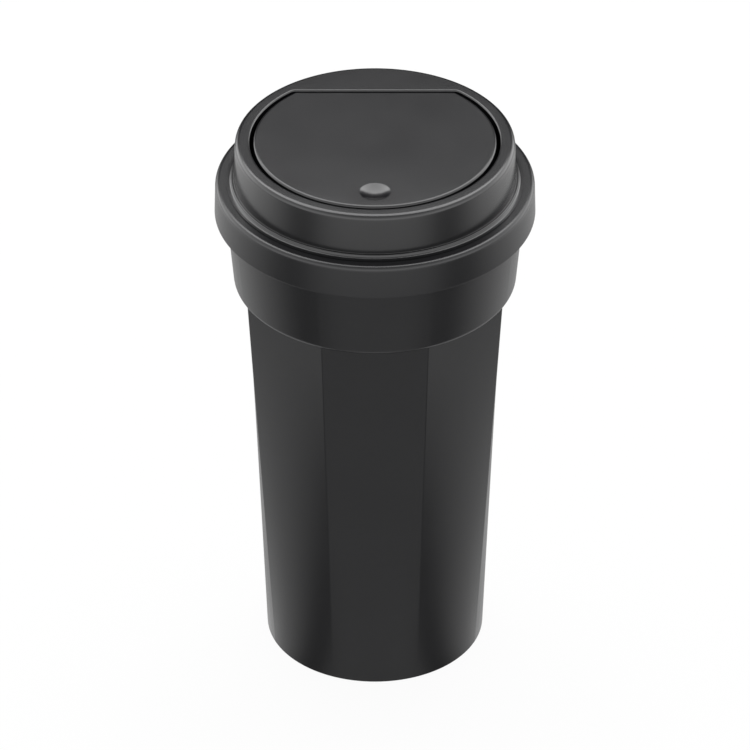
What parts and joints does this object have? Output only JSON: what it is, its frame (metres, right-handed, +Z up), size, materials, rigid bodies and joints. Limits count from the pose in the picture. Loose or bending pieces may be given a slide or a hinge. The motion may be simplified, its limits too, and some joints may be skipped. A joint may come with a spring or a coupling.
{
  "type": "car trash bin",
  "caption": "Cup-shaped car trash bin with an eight-sided tapering bucket, a press-on collar and a drum lid with a sprung push-in flap.",
  "frame": {"origin": "centre of the base, on the surface that the bin stands on", "axes": "+Z up along the bin's axis; -Y towards the flap's free edge with its thumb dimple; the hinge edge lies towards +Y"},
  "size_m": [0.0936, 0.0936, 0.1719],
  "materials": {
    "black_plastic": "black polypropylene, injection moulded, with an even satin surface",
    "steel": "bright drawn steel pin and spring wire"
  },
  "bodies": {
    "bucket": {"bucket": "black_plastic"},
    "lid": {"collar": "black_plastic", "lid_ring": "black_plastic", "hinge_pin": "steel", "return_spring": "steel"},
    "flap": {"flap": "black_plastic"}
  },
  "joints": [
    {"name": "lid_lift", "type": "slide", "parent": "bucket", "child": "lid", "axis": [0, 0, 1], "range_m": [0, 0.06]},
    {"name": "flap_hinge", "type": "hinge", "parent": "lid", "child": "flap", "pos_m": [0, 0.03, 0.16645], "axis": [1, 0, 0], "range_deg": [0, 55], "stiffness_Nm_per_rad": 0.02, "springref_deg": -34.38, "deforming": ["return_spring"]}
  ]
}
